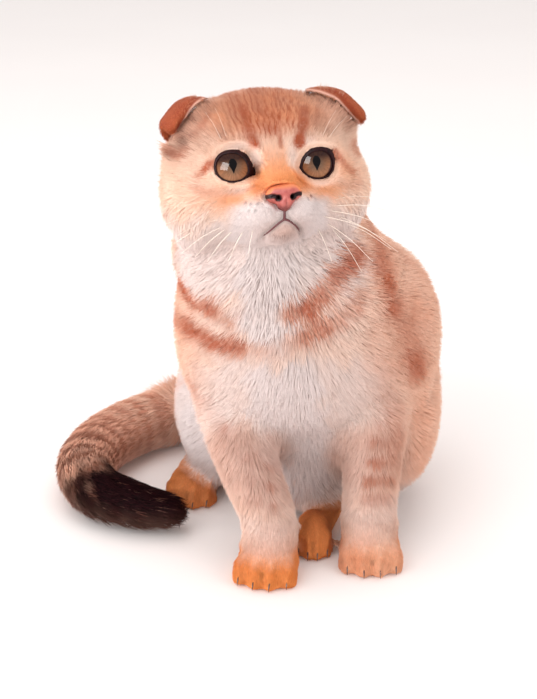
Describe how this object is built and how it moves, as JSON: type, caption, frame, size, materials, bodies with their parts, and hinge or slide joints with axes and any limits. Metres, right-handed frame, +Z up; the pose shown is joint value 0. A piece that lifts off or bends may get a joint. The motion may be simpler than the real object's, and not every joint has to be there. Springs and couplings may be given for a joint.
{
  "type": "scottish fold cat",
  "caption": "Young cat with small folded ears, sitting upright on its haunches with straight forelegs, raised face and a ringed tail curled round its side; a still figure.",
  "frame": {"origin": "middle of the footprint, on the floor the cat sits on", "axes": "+Z up to the crown of the head, -Y the way the cat faces, +X towards the cat's own left side"},
  "size_m": [0.183, 0.1786, 0.2043],
  "materials": {
    "coat_golden": "short plush fur, pale golden-orange tabby with white bib",
    "coat_paws": "short plush fur, deeper orange",
    "coat_tail_tip": "plush fur, maroon-black",
    "ear_skin": "velvety red-orange down over thin skin",
    "eye": "clear wet gloss over an amber-brown iris",
    "nose_leather": "bare pink skin, slightly moist"
  },
  "bodies": {
    "root": {"head": "coat_golden", "ear_left": "ear_skin", "ear_right": "ear_skin", "eye_left": "eye", "eye_right": "eye", "nose": "nose_leather", "neck": "coat_golden", "torso": "coat_golden", "foreleg_left": "coat_golden", "foreleg_right": "coat_golden", "forepaw_left": "coat_paws", "forepaw_right": "coat_paws", "thigh_left": "coat_golden", "thigh_right": "coat_golden", "hindpaw_left": "coat_paws", "hindpaw_right": "coat_paws", "tail_base": "coat_golden", "tail_middle": "coat_golden", "tail_tip": "coat_tail_tip"}
  },
  "joints": []
}
